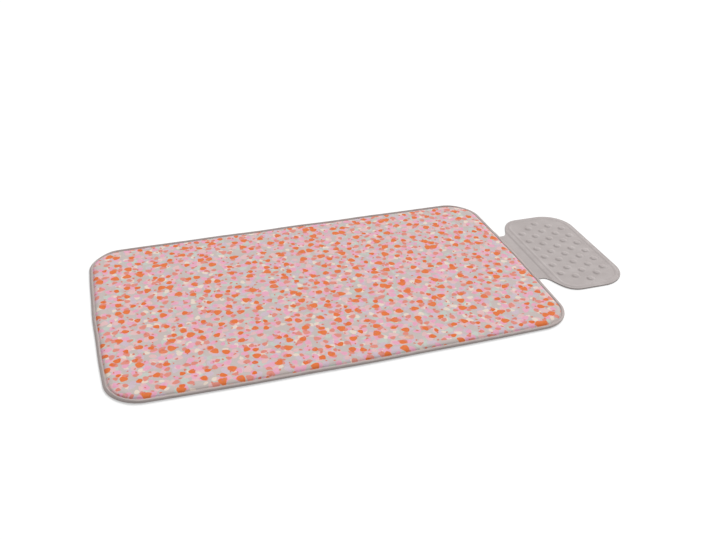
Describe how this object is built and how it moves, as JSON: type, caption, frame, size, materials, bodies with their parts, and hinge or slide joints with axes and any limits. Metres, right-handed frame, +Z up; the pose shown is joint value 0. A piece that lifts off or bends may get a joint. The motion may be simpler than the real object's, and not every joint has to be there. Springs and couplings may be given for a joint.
{
  "type": "ironing pad",
  "caption": "Padded table-top ironing mat with a rounded printed cover, bound edge and a flexible silicone rest for a hot tool at one end; folds in half for storage.",
  "frame": {"origin": "middle of the whole part's length and width, on the surface it lies on", "axes": "+X along the length towards the silicone rest, +Y across the width, +Z up from the table"},
  "size_m": [1.209, 0.6, 0.0089],
  "materials": {
    "cover": "plain-woven cotton, all-over print of small warm dabs, matt",
    "felt": "needled polyester felt",
    "foam": "open-cell foam sheet",
    "film": "aluminised heat-reflecting film",
    "backing": "plain-woven cotton backing, matt",
    "binding": "folded cotton bias tape, matt",
    "thread": "polyester sewing thread",
    "silicone": "matt moulded silicone rubber"
  },
  "bodies": {
    "pad_left": {"top_cover_left": "cover", "felt_left": "felt", "foam_left": "foam", "reflective_film_left": "film", "backing_left": "backing", "edge_binding_left": "binding", "needle_thread_left": "thread", "bobbin_thread_left": "thread"},
    "pad_right": {"top_cover_right": "cover", "felt_right": "felt", "foam_right": "foam", "reflective_film_right": "film", "backing_right": "backing", "edge_binding_right": "binding", "needle_thread_right": "thread", "bobbin_thread_right": "thread", "rest_flange": "silicone"},
    "rest": {"silicone_rest": "silicone"}
  },
  "joints": [
    {"name": "pad_fold", "type": "hinge", "parent": "pad_left", "child": "pad_right", "pos_m": [-0.1045, 0, 0.012], "axis": [0, -1, 0], "range_deg": [0, 179.9]},
    {"name": "rest_fold", "type": "hinge", "parent": "pad_right", "child": "rest", "pos_m": [0.4055, 0, 0.00725], "axis": [0, -1, 0], "range_deg": [0, 179.9]}
  ]
}
